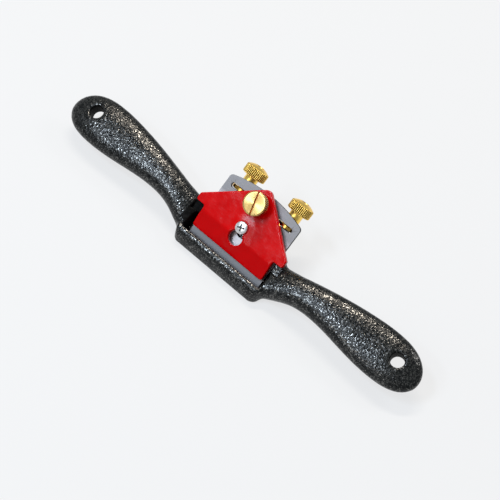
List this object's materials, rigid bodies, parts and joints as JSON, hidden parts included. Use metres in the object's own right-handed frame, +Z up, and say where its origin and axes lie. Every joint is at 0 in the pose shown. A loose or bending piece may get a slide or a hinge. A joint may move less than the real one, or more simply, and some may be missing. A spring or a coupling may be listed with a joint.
{
  "type": "neck shaping plane",
  "caption": "Flat-sole spokeshave for shaping instrument necks: two-handled casting, blade, red lever cap, brass thumbscrew and brass knurled depth adjusters.",
  "frame": {"origin": "centre of the flat sole, on the sole", "axes": "+X along the handles, -Y is the cutting side, +Z up from the sole"},
  "size_m": [0.253, 0.0537, 0.0437],
  "materials": {
    "hammertone_paint": "black and silver hammered enamel, glossy",
    "red_paint": "satin gloss enamel",
    "blade_steel": "matt ground",
    "zinc_steel": "zinc plated",
    "brass": "turned and knurled"
  },
  "bodies": {
    "casting": {"body_casting": "hammertone_paint", "left_handle": "hammertone_paint", "right_handle": "hammertone_paint", "cap_clamp_screw": "zinc_steel", "left_adjuster_stud": "zinc_steel", "right_adjuster_stud": "zinc_steel"},
    "blade": {"blade": "blade_steel"},
    "left_nut": {"left_adjuster_nut": "brass"},
    "right_nut": {"right_adjuster_nut": "brass"},
    "cap": {"lever_cap": "red_paint"},
    "thumb_shank": {"thumbscrew_shank": "brass"},
    "thumb_head": {"thumbscrew_head": "brass"}
  },
  "joints": [
    {"name": "blade_slide", "type": "slide", "parent": "casting", "child": "blade", "axis": [0, -0.7071, -0.7071], "range_m": [-0.0024, 0.0016]},
    {"name": "left_nut_turn", "type": "hinge", "parent": "blade", "child": "left_nut", "pos_m": [-0.0165, 0.0246, 0.02369], "axis": [0, -0.7071, -0.7071], "range_deg": [-1080.5, 720.5]},
    {"name": "right_nut_turn", "type": "hinge", "parent": "blade", "child": "right_nut", "pos_m": [0.0165, 0.0246, 0.02369], "axis": [0, -0.7071, -0.7071], "range_deg": [-1080.5, 720.5]},
    {"name": "cap_slide", "type": "slide", "parent": "casting", "child": "cap", "axis": [0, 0.7071, 0.7071], "range_m": [0, 0.0067]},
    {"name": "thumb_lift", "type": "slide", "parent": "cap", "child": "thumb_shank", "axis": [0, -0.7071, 0.7071], "range_m": [0, 0.0016]},
    {"name": "thumb_turn", "type": "hinge", "parent": "thumb_shank", "child": "thumb_head", "pos_m": [0, 0.01392, 0.03606], "axis": [0, -0.7071, 0.7071], "range_deg": [0, 720.5]}
  ],
  "couplings": [
    {"joint": "left_nut_turn", "follows": "blade_slide", "rad_per_m": 7854},
    {"joint": "right_nut_turn", "follows": "blade_slide", "rad_per_m": 7854},
    {"joint": "thumb_turn", "follows": "thumb_lift", "rad_per_m": 7854}
  ]
}
